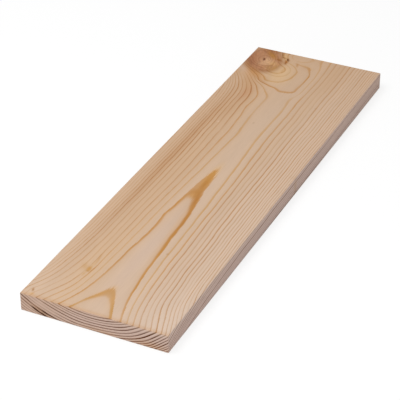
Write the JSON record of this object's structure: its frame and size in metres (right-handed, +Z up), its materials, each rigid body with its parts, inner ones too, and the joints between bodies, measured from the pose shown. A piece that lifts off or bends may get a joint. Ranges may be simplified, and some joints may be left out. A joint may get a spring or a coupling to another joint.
{
  "type": "timber plank",
  "caption": "Planed softwood plank with a flat-sawn face, eased long edges and square crosscut ends, for shelving, boxes, cladding and general joinery.",
  "frame": {"origin": "middle of the underside, the broad face that the board lies on", "axes": "+X across the width, +Y along the length and the grain towards the end with the knot, +Z up through the thickness"},
  "size_m": [0.14, 0.5, 0.018],
  "materials": {
    "planed_softwood": "planed bare softwood, matt, with growth rings and a knot at one corner"
  },
  "bodies": {
    "root": {"plank": "planed_softwood"}
  },
  "joints": []
}
